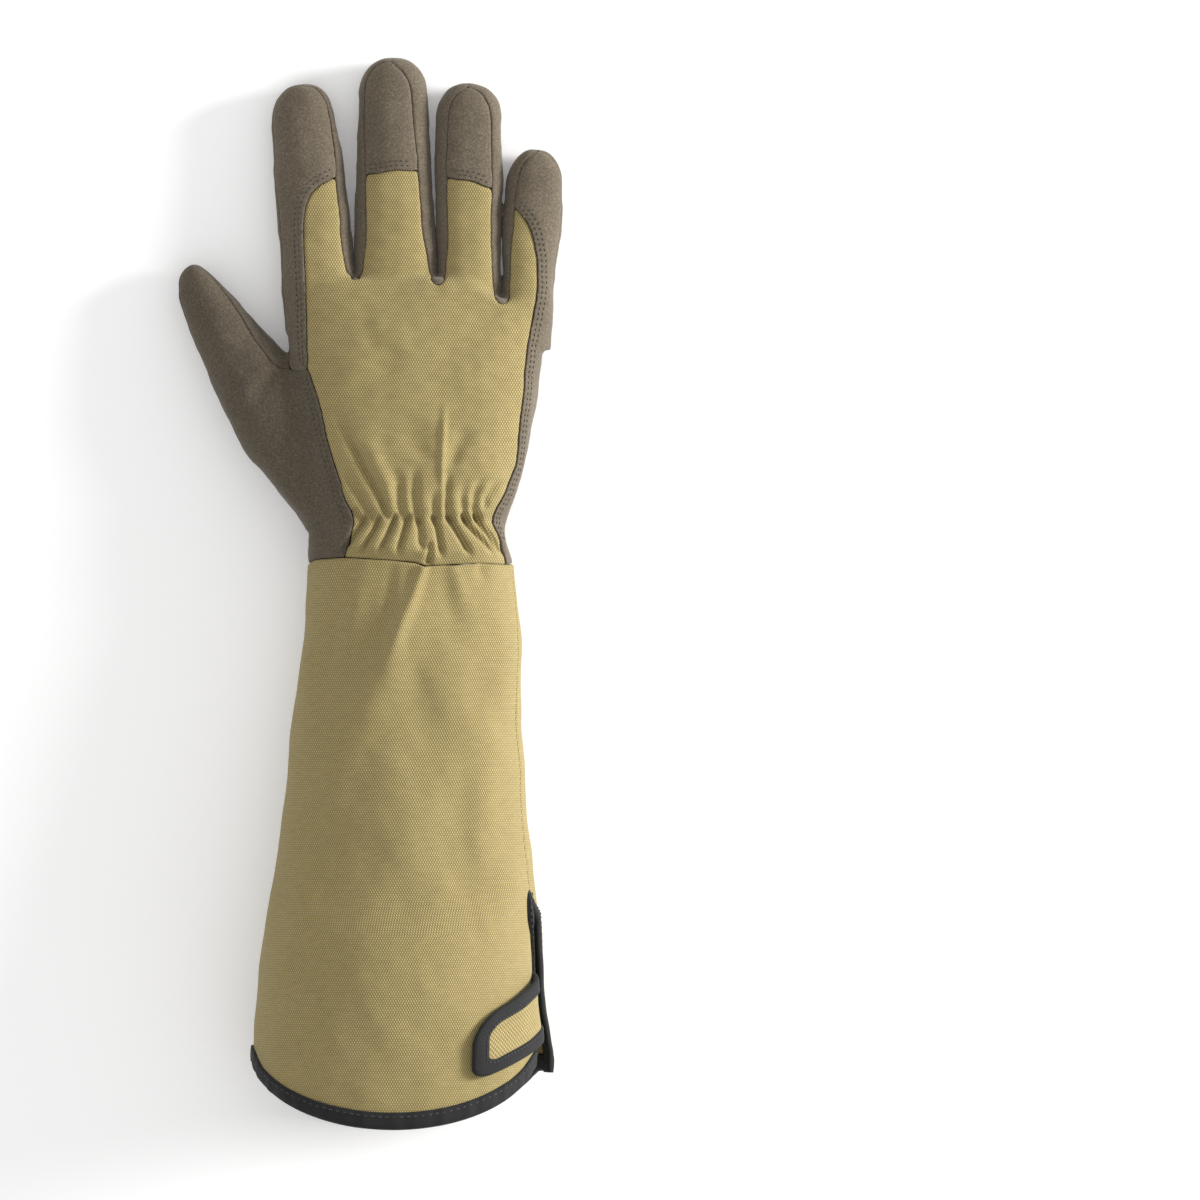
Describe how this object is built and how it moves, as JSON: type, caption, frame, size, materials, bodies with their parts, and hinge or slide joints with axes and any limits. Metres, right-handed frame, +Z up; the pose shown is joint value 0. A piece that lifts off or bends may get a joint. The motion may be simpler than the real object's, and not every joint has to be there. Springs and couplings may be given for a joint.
{
  "type": "gardening glove",
  "caption": "Right-hand gardening glove with a long flared canvas gauntlet, soft leather palm and fingertips, quilted palm pad, gathered wrist and a strap tab over a bound side slit.",
  "frame": {"origin": "under the middle of the glove's outline, on the surface that it lies on, palm down", "axes": "+Z up out of the back of the hand, +Y towards the fingertips, -X towards the thumb"},
  "size_m": [0.1616, 0.4498, 0.074],
  "materials": {
    "canvas": "coarse khaki canvas",
    "leather": "matt taupe soft leather with a short nap",
    "binding": "black woven edge tape"
  },
  "bodies": {
    "root": {"back_panel": "canvas", "gauntlet_back": "canvas", "gauntlet_palm": "canvas", "strap_canvas": "canvas", "hem_binding_back": "binding", "hem_binding_palm": "binding", "slit_binding_back": "binding", "slit_binding_palm": "binding", "strap_binding": "binding", "middle_tip_cap": "leather", "ring_tip_cap": "leather", "index_side_cap": "leather", "little_side_cap": "leather", "thumb_back": "leather", "palm_panel": "leather", "thumb_front": "leather", "finger_wall_index_middle": "leather", "finger_wall_middle_ring": "leather", "finger_wall_ring_little": "leather", "palm_pad": "leather", "index_tip_patch": "leather", "middle_tip_patch": "leather", "ring_tip_patch": "leather", "little_tip_patch": "leather", "thumb_tip_patch": "leather"}
  },
  "joints": []
}
